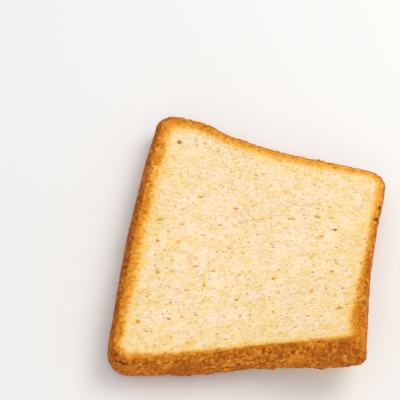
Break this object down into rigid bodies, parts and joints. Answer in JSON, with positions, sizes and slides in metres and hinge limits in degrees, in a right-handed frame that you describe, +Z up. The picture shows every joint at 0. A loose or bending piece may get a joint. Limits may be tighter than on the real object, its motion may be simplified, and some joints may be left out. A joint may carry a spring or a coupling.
{
  "type": "tin loaf slice",
  "caption": "Slice of tin-baked white bread with a golden crust, flat on its cut face, one corner curled up. Food prop that rests on a plate, board or basket.",
  "frame": {"origin": "middle of the bounding box, on the flat underside, which is the lower cut face", "axes": "+Z up out of the upper cut face; -X towards the loaf's top (head), +X towards the loaf's base; +Y and -Y towards the two side walls that the tin shaped"},
  "size_m": [0.1132, 0.1292, 0.0295],
  "materials": {
    "bread": "soft matt crumb inside a satin golden brown crust"
  },
  "bodies": {
    "root": {"bread_slice": "bread"}
  },
  "joints": []
}
